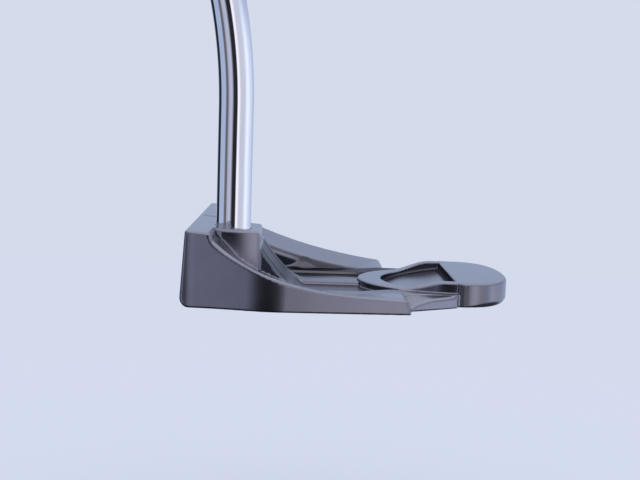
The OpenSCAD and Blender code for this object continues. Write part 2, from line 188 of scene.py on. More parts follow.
def milled_block(x, y, z):
    """The billet: lofted face, cambered sole, falling top and outline, all edges rounded."""
    across = np.abs(y)
    face = (LEAD_X + z * math.tan(LOFT) - x) * math.cos(LOFT)
    camber = SOLE_RISE * (np.maximum(across - SOLE_FLAT, 0) / (FACE_HALF - SOLE_FLAT)) ** 2
    camber = camber * (1 - SOLE_EASE * ease((x - SOLE_EASE_X) / SOLE_EASE_RUN))
    crown = (z - TOPLINE_H + (x - CROWN_X) * math.tan(TOP_FALL)) * math.cos(TOP_FALL)
    sole_edge = SOLE_ROUND + (TAIL_ROUND - SOLE_ROUND) * ease((x - TAIL_ROUND_X) / TAIL_ROUND_RUN)
    side_edge = EDGE_R + (sole_edge - EDGE_R) * (1 - ease((z - 1.5) / 3))
    side_edge = side_edge + FRONT_ROUND * (1 - ease((x - LEAD_X) / 3))
    metal = meet(face, camber - z, LEAD_ROUND)
    metal = meet(metal, outline_distance(x, y), side_edge)
    return meet(metal, crown, CROWN_ROUND)


def milled_inside(x, y, z):
    """Blade, boss, wings, pockets, spine and ring, as left standing by the cutter."""
    across = np.abs(y)
    bow = np.maximum(x - BOSS_BOW_X, 0)
    boss = np.maximum((BOSS_BOW * bow ** 2 - BOSS_Y - y) / np.hypot(1, 2 * BOSS_BOW * bow), y - BOSS_TOE)
    boss = meet(x - BOSS_X, boss, 0.2)
    braced = (y < 0) & (y > -POCKET_HALF - 3)
    floor = np.where(braced, under(ramp(FLOOR_H), x, y, z), z - FLOOR_H)
    shoulder = (SHOULDER_H - SHELF_H) * ease((x - SHOULDER_X[0]) / (SHOULDER_X[1] - SHOULDER_X[0]))
    brace_side = np.where(x < FOOT_X + 2 * FOOT_RUN, -WING_IN - 0.2 - y, -WING_IN)
    heel_shelf = meet(under(ramp(SHELF_H), x, y, z) - shoulder,
                      np.maximum(y + POCKET_HALF, brace_side), EDGE_R)
    toe_shelf = meet(z - SHELF_H - shoulder, POCKET_HALF - y, EDGE_R)
    spine = meet(under(ramp(SPINE_H), x, y, z), across - SPINE_HALF, EDGE_R)
    heel_wing = meet(under(wing_top(0), x, y, z), y + WING_IN, EDGE_R)
    toe_wing = meet(under(wing_top(1), x, y, z), WING_IN - y, TOE_INNER_R)
    ring_plan = np.where(x < BLOCK_END, np.hypot(x - RING_X, y) - RING_R, across - TAIL_HALF - 3)
    ring = meet(z - ring_height(x), ring_plan, 0.5)

    pockets = join(join(floor, toe_shelf, INNER_R), join(heel_shelf, spine, INNER_R), INNER_R)
    pockets = join(pockets, ring, INNER_R)
    bowl = 0.2 + (BOWL_R - 0.2) * ease((y - SPINE_HALF) / 2)
    metal = join(x - BACK_X, boss, BOSS_FILLET)
    metal = join(metal, pockets, bowl)
    metal = join(metal, heel_wing, WING_FILLET)
    return join(metal, toe_wing, WING_FILLET + SCOOP_R * np.exp(-((x - SCOOP_X) / SCOOP_RUN) ** 2))


def notches(x, y, z):
    """Air behind the slanted wing ends, over the facets that slope out from the ring to a low lip."""
    across = np.abs(y)
    cut_x = np.where(y < 0, *WING_CUT_X)
    end = (cut_x + (WING_CUT_H - z) * WING_CUT_SLOPE - x) / math.hypot(1, WING_CUT_SLOPE)
    lip = LIP_LOW + (LIP_H - LIP_LOW) * np.clip((x - LIP_X) / LIP_RUN, 0, 1.6)
    lip_y = NOTCH_Y - (x - NOTCH_X) * (NOTCH_Y - BLOCK_Y) / (BLOCK_X - NOTCH_X)
    inward = np.clip((lip_y - across) / np.maximum(lip_y - BLOCK_Y - BLOCK_STEP, 0.5), 0, 1)
    facet = lip + (SHOULDER_H - lip) * inward - VEE_DEEP * np.exp(-np.maximum(-end, 0) / VEE_RUN)
    return meet(meet(end, 0.95 * (facet - z), INNER_R), BLOCK_Y + BLOCK_STEP - across, 0.2)


def ring_pocket(x, y, z):
    """The half-oval pocket in the ring, its floor rising to the tail."""
    floor = WELL_LOW + (x - WELL_X) * WELL_SLOPE
    plan = meet(x - RING_X, well_oval(x, y), INNER_R)
    return meet(plan, floor - z, WELL_FILLET)


def face_pocket(x, y, z):
    """The pocket for the face insert and its tape."""
    depth = (x - LEAD_X) * math.cos(LOFT) - z * math.sin(LOFT)
    up = (x - LEAD_X) * math.sin(LOFT) + z * math.cos(LOFT) - SEAT_UP
    return np.maximum(np.hypot(np.maximum(np.abs(y) - SEAT_HALF, 0), up) - SEAT_R, depth - SEAT_DEEP)


def drilled(x, y, z):
    """Pockets for the shaft, the sole weights and the sight line."""
    off_y, off_z = y - BORE_Y, z - BORE_Z
    across = off_y * math.cos(BORE_LEAN) + off_z * math.sin(BORE_LEAN)
    along = off_z * math.cos(BORE_LEAN) - off_y * math.sin(BORE_LEAN)
    bore = np.maximum(np.hypot(x - BORE_X, across) - BORE_R, -BORE_DEEP - along)
    radius = np.hypot(x - WEIGHT_X, np.abs(y) - WEIGHT_Y)
    weights = np.minimum(np.maximum(radius - WEIGHT_SEAT_R, z - WEIGHT_SEAT_H),
                         np.maximum(radius - STUD_HOLE_R, z - STUD_HOLE_H))
    back = (x - CROWN_X) * math.cos(TOP_FALL) - (z - TOPLINE_H) * math.sin(TOP_FALL)
    high = (x - CROWN_X) * math.sin(TOP_FALL) + (z - TOPLINE_H) * math.cos(TOP_FALL)
    sight = np.maximum(np.maximum(np.abs(back - SIGHT_BACK) - SIGHT_HALF_LEN, np.abs(y) - SIGHT_HALF_W),
                       -SIGHT_DEEP - high)
    return np.minimum(bore, np.minimum(weights, sight))


def head_metal(x, y, z):
    """Signed distance to the head's surface, negative in the metal."""
    rim_r = RIM_R + RIM_FRONT_R * (1 - ease((x - RIM_FRONT_X) / RIM_FRONT_RUN))
    rim_r = rim_r * (1 - 0.8 * np.exp(-((x - BLOCK_END) / 1.1) ** 2))
    metal = meet(milled_block(x, y, z), milled_inside(x, y, z), rim_r)
    metal = meet(metal, -notches(x, y, z), NOTCH_EDGE)
    metal = meet(metal, -ring_pocket(x, y, z), EDGE_R)
    metal = meet(metal, -face_pocket(x, y, z), SEAT_EDGE)
    return meet(metal, -drilled(x, y, z), HOLE_EDGE)


def surface_mesh(name, field, xs, ys, zs):
    """Mesh of a field's zero surface: one vertex in each grid cell that it crosses, on its edges where
    it has any. Its normals are the field's slope over about a cell, so that sharp edges look broken."""
    axes = (xs, ys, zs)
    value = field(xs[:, None, None], ys[None, :, None], zs[None, None, :])
    cells = tuple(n - 1 for n in value.shape)

    def gradient(p, step=0.02):
        here = field(*p.T)
        slope = np.stack([(field(*(p + step * np.eye(3)[k]).T) - here) / step for k in range(3)], 1)
        return here, slope

    quads, crossings = [], []
    for k in range(3):
        i, j = (k + 1) % 3, (k + 2) % 3
        low, high = [slice(None)] * 3, [slice(None)] * 3
        low[k], high[k] = slice(None, -1), slice(1, None)
        a, b = value[tuple(low)], value[tuple(high)]
        at = np.argwhere((a < 0) != (b < 0))
        va, vb = a[tuple(at.T)], b[tuple(at.T)]
        cross = np.empty((len(at), 3))
        cross[:, k] = axes[k][at[:, k]] + va / (va - vb) * (axes[k][at[:, k] + 1] - axes[k][at[:, k]])
        cross[:, i], cross[:, j] = axes[i][at[:, i]], axes[j][at[:, j]]
        around = []
        for di, dj in ((0, 0), (-1, 0), (-1, -1), (0, -1)):
            cell = at.copy()
            cell[:, i] += di
            cell[:, j] += dj
            around.append(np.ravel_multi_index(tuple(cell.T), cells))
        around = np.stack(around, 1)
        around[va > 0] = around[va > 0][:, ::-1]
        quads.append(around)
        crossings.append(cross)
    quads, crossings = np.concatenate(quads), np.concatenate(crossings)
    slopes = gradient(crossings)[1]
    slopes /= np.linalg.norm(slopes, axis=1, keepdims=True)
    used, number = np.unique(quads, return_inverse=True)
    number = number.ravel()
    near, facing = np.repeat(crossings, 4, axis=0), np.repeat(slopes, 4, axis=0)

    def total(columns):
        return np.stack([np.bincount(number, column) for column in columns.T], 1)

    middle = total(near) / np.bincount(number)[:, None]
    off = (facing * (near - middle[number])).sum(1)
    spread = total((facing[:, :, None] * facing[:, None, :]).reshape(-1, 9)).reshape(-1, 3, 3)
    shift = np.linalg.solve(spread + 0.1 * np.eye(3), total(facing * off[:, None])[:, :, None])[:, :, 0]
    corner = np.stack(np.unravel_index(used, cells), 1)
    low = np.stack([axes[k][corner[:, k]] for k in range(3)], 1)
    high = np.stack([axes[k][corner[:, k] + 1] for k in range(3)], 1)
    points = np.clip(middle + shift, low, high)
    longest = 0.4
    for _ in range(3):
        here, slope = gradient(points)
        move = here[:, None] * slope / np.maximum((slope ** 2).sum(1, keepdims=True), 0.2)
        size = np.linalg.norm(move, axis=1, keepdims=True)
        points = points - move * np.minimum(1, longest / np.maximum(size, 1e-9))
    mesh = bpy.data.meshes.new(name)
    mesh.from_pydata((points * MM).tolist(), [], number.reshape(-1, 4).tolist())
    mesh.polygons.foreach_set("use_smooth", [True] * len(mesh.polygons))
    reach = 0.9 * min(np.diff(axis).min() for axis in axes) * np.eye(3)
    slope = np.stack([field(*(points + reach[k]).T) - field(*(points - reach[k]).T) for k in range(3)], 1)
    normals = slope / np.linalg.norm(slope, axis=1, keepdims=True)
    mesh.normals_split_custom_set_from_vertices(normals.tolist())
    return mesh


xs = np.concatenate([np.arange(LEAD_X - 1.2, 21, 0.55), np.arange(21, 47, 0.4),
                     np.arange(47, TAIL_X + 1.2, 0.55)])
ys = np.concatenate([np.arange(-52.6, -20, 0.45), np.arange(-20, 53.2, 0.6)])
zs = np.concatenate([np.arange(-0.7, 7.5, 0.33), np.arange(7.5, 17.5, 0.6), np.arange(17.5, 21.6, 0.33)])
head = bpy.data.objects.new("milled_head", surface_mesh("milled_head", head_metal, xs, ys, zs))
bpy.context.scene.collection.objects.link(head)


# Levels of painted shade, 0 to 1, laid on the head's coating where shade falls in its pockets and on its
# walls.
FLOOR_SHADE, SHELF_SHADE, SPINE_SHADE, FAR_SHADE, BRACE_SHADE = 0.3, 0.1, 0.15, 0.54, 0.55
RING_SHADE, WELL_SHADE, BOSS_SHADE, FALL_SHADE, FAR_Y = 0.15, 0.62, 0.35, 0.7, 13.0


def painted_recess_shade(x, y, z, upright):
    """Painted shade, 0 to 1, where shade falls: the pocket floors and the brace, the walls of the ring, its
    pocket, the brace and the boss, and the fall inside the toe wing."""
    across = np.abs(y)
    ring = np.where(x < RING_X, np.hypot(x - RING_X, y) - RING_R, across - TAIL_HALF)
    shelf = 1 - ease((y + POCKET_HALF - 0.2) / 0.4)
    far = ease((y - FAR_Y) / 2)
    spine = ease((y + SPINE_HALF + 0.3) / 0.3) * (1 - far)
    level = (FLOOR_SHADE + (SHELF_SHADE - FLOOR_SHADE) * shelf + (SPINE_SHADE - FLOOR_SHADE) * spine
             + (FAR_SHADE - FLOOR_SHADE) * far)
    floors = ease((x - BOSS_X - 0.1) / 0.5) * (1 - ease((across - WING_IN + 0.6) / 0.6)) * ease(ring / 0.4)
    floors = floors * (level + (BRACE_SHADE - level) * ease((z - 4) / 3))
    front = RING_SHADE * upright * (1 - ease((np.abs(ring) - 0.3) / 0.3)) * (x < 34)
    inside = np.maximum(x - RING_X, well_oval(x, y))
    well = WELL_SHADE * ease((inside + 1.6) / 1.0) * (1 - ease((inside - 0.3) / 0.3))
    well = well * ease((ring_height(x) - z - 0.1) / 0.5)
    brace = BRACE_SHADE * upright * (1 - ease((np.abs(y + WING_IN) - 0.5) / 0.3))
    brace = brace * (x > BOSS_X + 0.4) * (x < 6)
    boss = BOSS_SHADE * upright * (1 - ease((np.abs(y + BOSS_Y) - 0.5) / 0.3))
    boss = boss * (1 - ease((x + 18) / 5)) * (x > BACK_X)
    fall = FALL_SHADE * ease((WING_IN + 2.2 - y) / 1.6) * ease((y - WING_IN + 1) / 0.5)
    fall = fall * ease((z - SHELF_H + 0.2) / 0.3) * (1 - upright * (1 - ease((x + 2) / 6)))
    fall = fall * (x > BACK_X) * (1 - ease((x - 14) / 8))
    return ease((z - 1) / 0.6) * np.maximum.reduce([floors, front, well, brace, boss, fall])


# Painted shade for each vertex of the head, kept in an attribute that the coating reads.
places = np.array([vertex.co for vertex in head.data.vertices]) / MM
steep = np.array([corner.vector.z for corner in head.data.vertex_normals])
upright = 1 - ease((np.abs(steep) - 0.2) / 0.6)
head.data.attributes.new("painted_shade", "FLOAT", "POINT").data.foreach_set("value", painted_recess_shade(*places.T, upright))


def new_material(name):
    material = bpy.data.materials.new(name)
    material.use_nodes = True
    nodes, links = material.node_tree.nodes, material.node_tree.links
    return material, nodes, links, nodes["Principled BSDF"]


def satin_coating():
    """Dark satin coating over bead-blasted steel: a fine grain, soft mottling, uneven gloss, and painted
    shade in the recesses, which darkens the colour and the edge tint there, with a duller gloss."""
    material, nodes, links, shader = new_material("head_satin")
    place = nodes.new("ShaderNodeTexCoord")
    grain = nodes.new("ShaderNodeTexNoise")
    grain.inputs["Scale"].default_value = 2600
    grain.inputs["Detail"].default_value = 3
    mottle = nodes.new("ShaderNodeTexNoise")
    mottle.inputs["Scale"].default_value = 140
    mottle.inputs["Detail"].default_value = 4
    tone = nodes.new("ShaderNodeValToRGB")
    tone.color_ramp.elements[0].position, tone.color_ramp.elements[1].position = 0.3, 0.7
    tone.color_ramp.elements[0].color = (0.17, 0.172, 0.21, 1)
    tone.color_ramp.elements[1].color = (0.195, 0.197, 0.238, 1)
    gloss = nodes.new("ShaderNodeMapRange")
    gloss.inputs["To Min"].default_value, gloss.inputs["To Max"].default_value = 0.18, 0.24
    bump = nodes.new("ShaderNodeBump")
    bump.inputs["Strength"].default_value = 0.07
    bump.inputs["Distance"].default_value = 0.00003
    # Painted shade: the head's attribute darkens the base colour and dims the edge tint in the recesses, and
    # raises the roughness there.
    painted_shade = nodes.new("ShaderNodeAttribute")
    painted_shade.attribute_name = "painted_shade"
    painted_darkening = nodes.new("ShaderNodeMapRange")
    painted_darkening.inputs["To Min"].default_value, painted_darkening.inputs["To Max"].default_value = 1, 0
    painted_edge_dimming = nodes.new("ShaderNodeMapRange")
    painted_edge_dimming.inputs["To Min"].default_value, painted_edge_dimming.inputs["To Max"].default_value = 0.95, -0.2
    tooled = nodes.new("ShaderNodeMapRange")
    tooled.inputs["From Min"].default_value, tooled.inputs["From Max"].default_value = 0.56, 0.62
    tooled.inputs["To Min"].default_value, tooled.inputs["To Max"].default_value = 0, 0.25
    dull = nodes.new("ShaderNodeMath")
    coat = nodes.new("ShaderNodeVectorMath")
    coat.operation = "SCALE"
    for texture in (grain, mottle):
        links.new(place.outputs["Object"], texture.inputs["Vector"])
    for share in (painted_darkening, painted_edge_dimming, tooled):
        links.new(painted_shade.outputs["Fac"], share.inputs["Value"])
    links.new(mottle.outputs["Fac"], tone.inputs["Fac"])
    links.new(tone.outputs["Color"], coat.inputs[0])
    links.new(painted_darkening.outputs["Result"], coat.inputs["Scale"])
    links.new(coat.outputs["Vector"], shader.inputs["Base Color"])
    links.new(painted_edge_dimming.outputs["Result"], shader.inputs["Specular Tint"])
    links.new(mottle.outputs["Fac"], gloss.inputs["Value"])
    links.new(gloss.outputs["Result"], dull.inputs[0])
    links.new(tooled.outputs["Result"], dull.inputs[1])
    links.new(dull.outputs["Value"], shader.inputs["Roughness"])
    links.new(grain.outputs["Fac"], bump.inputs["Height"])
    links.new(bump.outputs["Normal"], shader.inputs["Normal"])
    shader.inputs["Metallic"].default_value = 1
    return material


head.data.materials.append(satin_coating())
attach(head, "club")
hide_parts("head_body")

# Face insert
# A plate of dark anodised aluminium with nine fine grooves, cut by a round-nosed tool, that softens the
# ball's contact. It lies in a pocket in the face, on a layer of tape.
INSERT_W, INSERT_H, INSERT_T = 66.0, 12.6, 2.6
GROOVE_PITCH, GROOVE_DEEP, GROOVE_R = 1.25, 0.4, 0.3125


def grooved_plate(depth, across, up):
    """Signed distance to the insert, measured in behind the face, across it and up it."""
    ends = np.hypot(np.maximum(np.abs(across) - (INSERT_W - INSERT_H) / 2, 0), up) - INSERT_H / 2
    plate = meet(meet(ends, -depth, 0.25), depth - INSERT_T, 0.1)
    row = GROOVE_PITCH * np.clip(np.round(up / GROOVE_PITCH), -4, 4)
    groove = np.hypot(up - row, depth - GROOVE_DEEP + GROOVE_R) - GROOVE_R
    return meet(plate, -groove, 0.05)


insert_mesh = surface_mesh("grooved_insert", grooved_plate,
                           np.concatenate([np.arange(-0.25, 0.7, 0.1), np.arange(0.9, 2.9, 0.35)]),
                           np.arange(-33.6, 33.7, 0.6), np.arange(-6.55, 6.6, 0.1))
insert_mesh.transform(Matrix.Translation((LEAD_X * MM, 0, 0)) @ Matrix.Rotation(LOFT, 4, "Y")
                      @ Matrix.Translation((0, 0, SEAT_UP * MM)))
insert = bpy.data.objects.new("grooved_insert", insert_mesh)
bpy.context.scene.collection.objects.link(insert)


def textured(name, dark, light, stretch, gloss, bump, metallic=0.0):
    """Material whose tone, gloss and relief follow a noise, stretched along the way it was made."""
    material, nodes, links, shader = new_material(name)
    place = nodes.new("ShaderNodeTexCoord")
    lay = nodes.new("ShaderNodeMapping")
    lay.inputs["Scale"].default_value = stretch
    noise = nodes.new("ShaderNodeTexNoise")
    noise.inputs["Scale"].default_value = 1
    noise.inputs["Detail"].default_value = 5
    tone = nodes.new("ShaderNodeValToRGB")
    tone.color_ramp.elements[0].position, tone.color_ramp.elements[1].position = 0.3, 0.7
    tone.color_ramp.elements[0].color, tone.color_ramp.elements[1].color = (*dark, 1), (*light, 1)
    sheen = nodes.new("ShaderNodeMapRange")
    sheen.inputs["To Min"].default_value, sheen.inputs["To Max"].default_value = gloss
    relief = nodes.new("ShaderNodeBump")
    relief.inputs["Strength"].default_value, relief.inputs["Distance"].default_value = bump
    links.new(place.outputs["Object"], lay.inputs["Vector"])
    links.new(lay.outputs["Vector"], noise.inputs["Vector"])
    links.new(noise.outputs["Fac"], tone.inputs["Fac"])
    links.new(noise.outputs["Fac"], sheen.inputs["Value"])
    links.new(noise.outputs["Fac"], relief.inputs["Height"])
    links.new(tone.outputs["Color"], shader.inputs["Base Color"])
    links.new(sheen.outputs["Result"], shader.inputs["Roughness"])
    links.new(relief.outputs["Normal"], shader.inputs["Normal"])
    shader.inputs["Metallic"].default_value = metallic
    return material


insert.data.materials.append(textured("insert_anodised", (0.2, 0.21, 0.24), (0.25, 0.26, 0.29),
                                      (3000, 300, 3000), (0.34, 0.46), (0.15, 0.00002), 1))
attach(insert, "club")
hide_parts("face_insert")

# Insert tape
# A thin double-sided tape of pale foam, cut to the insert's outline. It is stuck to the floor of the
# pocket in the face, and holds the insert there.
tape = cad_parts["insert_tape"]
tape.data.materials.clear()
tape.data.materials.append(textured("insert_foam", (0.7, 0.67, 0.55), (0.79, 0.76, 0.64),
                                    (2400, 2400, 2400), (0.75, 0.9), (0.4, 0.00005)))

# Sight line
# A short groove cut in the top of the blade, at its middle, to aim by. It is filled with dark enamel,
# which has sunk a little as it dried.
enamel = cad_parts["sight_line"]
enamel.data.materials.clear()
enamel.data.materials.append(textured("sight_enamel", (0.042, 0.042, 0.052), (0.06, 0.06, 0.07),
                                      (900, 900, 900), (0.25, 0.4), (0.2, 0.00004)))

# Sole weights
# Two turned steel screws in the sole, at heel and toe: a flat head with a hex socket and four pin
# holes, and a threaded stud. They are swapped to change the head's weight.
WEIGHT_LOW, WEIGHT_R, WEIGHT_HEAD_H, STUD_R, STUD_H = 0.45, 7.0, 3.6, 4.0, 4.4
HEX_HALF, HEX_DEEP, PIN_R, PIN_AT, PIN_DEEP = 2.25, 2.6, 0.7, 5.0, 1.0
THREAD_PITCH, THREAD_DEEP = 1.0, 0.42


def sole_weight(x, y, z):
    """Signed distance to a weight that stands on its head, with its axis on Z."""
    radius, angle = np.hypot(x, y), np.arctan2(y, x)
    disc = meet(meet(radius - WEIGHT_R, -z, 0.5), z - WEIGHT_HEAD_H, 0.3)
    turn = np.abs((z / THREAD_PITCH - angle / (2 * math.pi)) % 1 - 0.5) * 2
    thread = (radius - STUD_R + THREAD_DEEP * np.clip(1.25 * turn - 0.15, 0, 1)) * 0.75
    stud = meet(thread, np.maximum(z - WEIGHT_HEAD_H - STUD_H, 0.5 - z), 0.3)
    flat = angle - math.pi / 3 * np.round((angle - math.pi / 6) / (math.pi / 3)) - math.pi / 6
    socket = np.maximum(radius * np.cos(flat) - HEX_HALF, z - HEX_DEEP)
    pin_x, pin_y = np.abs(x) - PIN_AT * math.sqrt(0.5), np.abs(y) - PIN_AT * math.sqrt(0.5)
    pins = np.maximum(np.hypot(pin_x, pin_y) - PIN_R, z - PIN_DEEP)
    return meet(join(disc, stud, 0.2), -np.minimum(socket, pins), 0.15)


def turned_steel():
    """Turned steel: rings left by the lathe round the weight's axis."""
    material, nodes, links, shader = new_material("weight_turned")
    ring = nodes.new("ShaderNodeAttribute")
    ring.attribute_name = "turned"
    lathe = nodes.new("ShaderNodeTexNoise")
    lathe.noise_dimensions = "1D"
    lathe.inputs["Scale"].default_value = 9
    lathe.inputs["Detail"].default_value = 4
    tone = nodes.new("ShaderNodeValToRGB")
    tone.color_ramp.elements[0].color = (0.36, 0.37, 0.4, 1)
    tone.color_ramp.elements[1].color = (0.48, 0.49, 0.52, 1)
    sheen = nodes.new("ShaderNodeMapRange")
    sheen.inputs["To Min"].default_value, sheen.inputs["To Max"].default_value = 0.2, 0.4
    relief = nodes.new("ShaderNodeBump")
    relief.inputs["Strength"].default_value, relief.inputs["Distance"].default_value = 0.3, 0.00003
    links.new(ring.outputs["Fac"], lathe.inputs["W"])
    links.new(lathe.outputs["Fac"], tone.inputs["Fac"])
    links.new(lathe.outputs["Fac"], sheen.inputs["Value"])
    links.new(lathe.outputs["Fac"], relief.inputs["Height"])
    links.new(tone.outputs["Color"], shader.inputs["Base Color"])
    links.new(sheen.outputs["Result"], shader.inputs["Roughness"])
    links.new(relief.outputs["Normal"], shader.inputs["Normal"])
    shader.inputs["Metallic"].default_value = 1
    return material


weight_grid = np.arange(-7.25, 7.3, 0.15)
weight_levels = np.concatenate([np.arange(-0.3, 1.6, 0.12), np.arange(1.6, 3.2, 0.3),
                                np.arange(3.2, 8.3, 0.1)])
weight_material = turned_steel()
for body, side in (("heel_weight", -1), ("toe_weight", 1)):
    mesh = surface_mesh("turned_" + body, sole_weight, weight_grid, weight_grid, weight_levels)
    turned_at = mesh.attributes.new("turned", "FLOAT", "POINT")
    turned_at.data.foreach_set("value", [math.hypot(v.co.x, v.co.y) / MM for v in mesh.vertices])
    mesh.transform(Matrix.Translation((WEIGHT_X * MM, side * WEIGHT_Y * MM, WEIGHT_LOW * MM)))
    weight = bpy.data.objects.new("turned_" + body, mesh)
    bpy.context.scene.collection.objects.link(weight)
    weight.data.materials.append(weight_material)
    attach(weight, body)
    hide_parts(body)

# Shaft
# A steel tube, bent twice above the head and stepped up to the grip, then chromed to a mirror. Its tip
# is glued into the boss. The tube is swept along its path, with its swell at each step.
SHAFT_ENTRY = Vector((BORE_X, BORE_Y, BORE_Z))
TIP_R, BUTT_R, BEND_R = 4.7, 7.5, 138
BEND_Z, BEND_SLOPE, MIDDLE_LEN, UPPER_LEN = 52, math.tan(math.radians(17)), 16, 705
LIE_LEAN = math.radians(20)
STEPS, STEP_FROM, STEP_TO = 8, 150, 423
STEP_SHAPE = ((-2.4, 0), (-1.2, 0), (-0.6, 0.15), (0, 0.5), (0.6, 0.85), (1.2, 1), (2.4, 1))
SHAFT_SIDES, CHROME_TIP = 72, 0.1

low_way = Vector((0, -math.tan(BORE_LEAN), 1)).normalized()
middle_way = Vector((-BEND_SLOPE, -math.tan((BORE_LEAN + LIE_LEAN) / 2), 1)).normalized()
upper_way = Vector((0, -math.tan(LIE_LEAN), 1)).normalized()


def bent(start, way, leave, n=48):
    """Points of a bend that starts along way and ends along leave."""
    turn = way.angle(leave)
    inward = (leave - way.dot(leave) * way).normalized()
    return [start + BEND_R * (math.sin(turn * i / n) * way + (1 - math.cos(turn * i / n)) * inward)
            for i in range(n + 1)]


lower_end = SHAFT_ENTRY + (BEND_Z - SHAFT_ENTRY.z) / low_way.z * low_way
first_bend = bent(lower_end, low_way, middle_way)
second_bend = bent(first_bend[-1] + MIDDLE_LEN * middle_way, middle_way, upper_way)
upper_start = second_bend[-1]
shaft_path = [(SHAFT_ENTRY - BORE_DEEP * low_way, 1.0)]
shaft_path += [(point, 1.0) for point in first_bend + second_bend]
for k in range(STEPS):
    at = STEP_FROM + (STEP_TO - STEP_FROM) * k / (STEPS - 1)
    swell = [1 + (BUTT_R / TIP_R - 1) * (k + j) / STEPS for j in (0, 1)]
    for off, share in STEP_SHAPE:
        shaft_path.append((upper_start + (at + off) * upper_way, swell[0] + (swell[1] - swell[0]) * share))
shaft_path.append((upper_start + UPPER_LEN * upper_way, BUTT_R / TIP_R))


def bright_chrome():
    """Mirror chrome with a faint lengthwise polish. Its normals are tipped up a little, so that the tube
    mirrors the room down to its foot, and less of the head."""
    material = textured("shaft_chrome", (0.6, 0.625, 0.67), (0.65, 0.67, 0.71), (900, 900, 25), (0.03, 0.06),
                        (0.02, 0.00001), 1)
    nodes, links = material.node_tree.nodes, material.node_tree.links
    shader = nodes["Principled BSDF"]
    tipped = nodes.new("ShaderNodeVectorMath")
    tipped.inputs[1].default_value = (0, 0, CHROME_TIP)
    links.new(shader.inputs["Normal"].links[0].from_socket, tipped.inputs[0])
    unit = nodes.new("ShaderNodeVectorMath")
    unit.operation = "NORMALIZE"
    links.new(tipped.outputs["Vector"], unit.inputs[0])
    links.new(unit.outputs["Vector"], shader.inputs["Normal"])
    return material


def grown(name, mesh, tree, sizes):
    """Object whose mesh is what a node tree, given its sizes by socket, makes of a starting mesh."""
    piece = bpy.data.objects.new(name, mesh)
    bpy.context.scene.collection.objects.link(piece)
    growth = piece.modifiers.new("growth", "NODES")
    growth.node_group = tree
    for socket, value in sizes:
        growth[socket.identifier] = value
    made = bpy.data.meshes.new_from_object(piece.evaluated_get(bpy.context.evaluated_depsgraph_get()))
    piece.modifiers.clear()
    piece.data = made
    return piece


def new_tree(name, *sizes):
    """Node tree with a geometry input, named size inputs and a geometry output."""
    tree = bpy.data.node_groups.new(name, "GeometryNodeTree")
    tree.interface.new_socket("Geometry", in_out="INPUT", socket_type="NodeSocketGeometry")
    inputs = [tree.interface.new_socket(size, in_out="INPUT", socket_type=kind) for size, kind in sizes]
    tree.interface.new_socket("Geometry", in_out="OUTPUT", socket_type="NodeSocketGeometry")
    return tree, tree.nodes, tree.links, tree.nodes.new("NodeGroupInput"), inputs


def end_tree(tree, geometry, material):
    """Ends a tree: instances made real, the material set."""
    real = tree.nodes.new("GeometryNodeRealizeInstances")
    coat = tree.nodes.new("GeometryNodeSetMaterial")
    coat.inputs["Material"].default_value = material
    tree.links.new(geometry, real.inputs["Geometry"])
    tree.links.new(real.outputs["Geometry"], coat.inputs["Geometry"])
    tree.links.new(coat.outputs["Geometry"], tree.nodes.new("NodeGroupOutput").inputs[0])


tree, nodes, links, given, sizes = new_tree("shaft_sweep", ("Tip radius", "NodeSocketFloat"),
                                            ("Sides", "NodeSocketInt"))
path = nodes.new("GeometryNodeMeshToCurve")
circle = nodes.new("GeometryNodeCurvePrimitiveCircle")
swell_at = nodes.new("GeometryNodeInputNamedAttribute")
swell_at.inputs["Name"].default_value = "swell"
sweep = nodes.new("GeometryNodeCurveToMesh")
sweep.inputs["Fill Caps"].default_value = True
smooth = nodes.new("GeometryNodeSetShadeSmooth")
links.new(given.outputs["Geometry"], path.inputs["Mesh"])
links.new(given.outputs["Tip radius"], circle.inputs["Radius"])
links.new(given.outputs["Sides"], circle.inputs["Resolution"])
links.new(path.outputs["Curve"], sweep.inputs["Curve"])
links.new(circle.outputs["Curve"], sweep.inputs["Profile Curve"])
links.new(swell_at.outputs["Attribute"], sweep.inputs["Scale"])
links.new(sweep.outputs["Mesh"], smooth.inputs["Geometry"])
end_tree(tree, smooth.outputs["Geometry"], bright_chrome())

path_mesh = bpy.data.meshes.new("shaft_path")
path_mesh.from_pydata([point * MM for point, _ in shaft_path],
                      [(i, i + 1) for i in range(len(shaft_path) - 1)], [])
path_mesh.attributes.new("swell", "FLOAT", "POINT").data.foreach_set("value", [s for _, s in shaft_path])
shaft = grown("chromed_shaft", path_mesh, tree, zip(sizes, (TIP_R * MM, SHAFT_SIDES)))
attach(shaft, "club")
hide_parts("shaft")

# Shaft epoxy
# The dark two-part glue round the shaft's tip. It fills the gap between the tube and the bore, and shows
# as a thin ring at the bore's mouth.
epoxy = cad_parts["shaft_epoxy"]
epoxy.data.materials.clear()
epoxy.data.materials.append(textured("epoxy_dark", (0.035, 0.035, 0.04), (0.06, 0.06, 0.066),
                                     (1100, 1100, 1100), (0.3, 0.5), (0.3, 0.00005)))

# Grip tape
# A double-sided paper tape, wound once round the shaft under the grip. Wetted with solvent it lets the
# grip slide on, and it holds the grip once the solvent has dried.
grip_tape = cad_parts["grip_tape"]
grip_tape.data.materials.clear()
grip_tape.data.materials.append(textured("tape_paper", (0.7, 0.67, 0.56), (0.8, 0.77, 0.66),
                                         (500, 500, 1500), (0.7, 0.9), (0.3, 0.00004)))

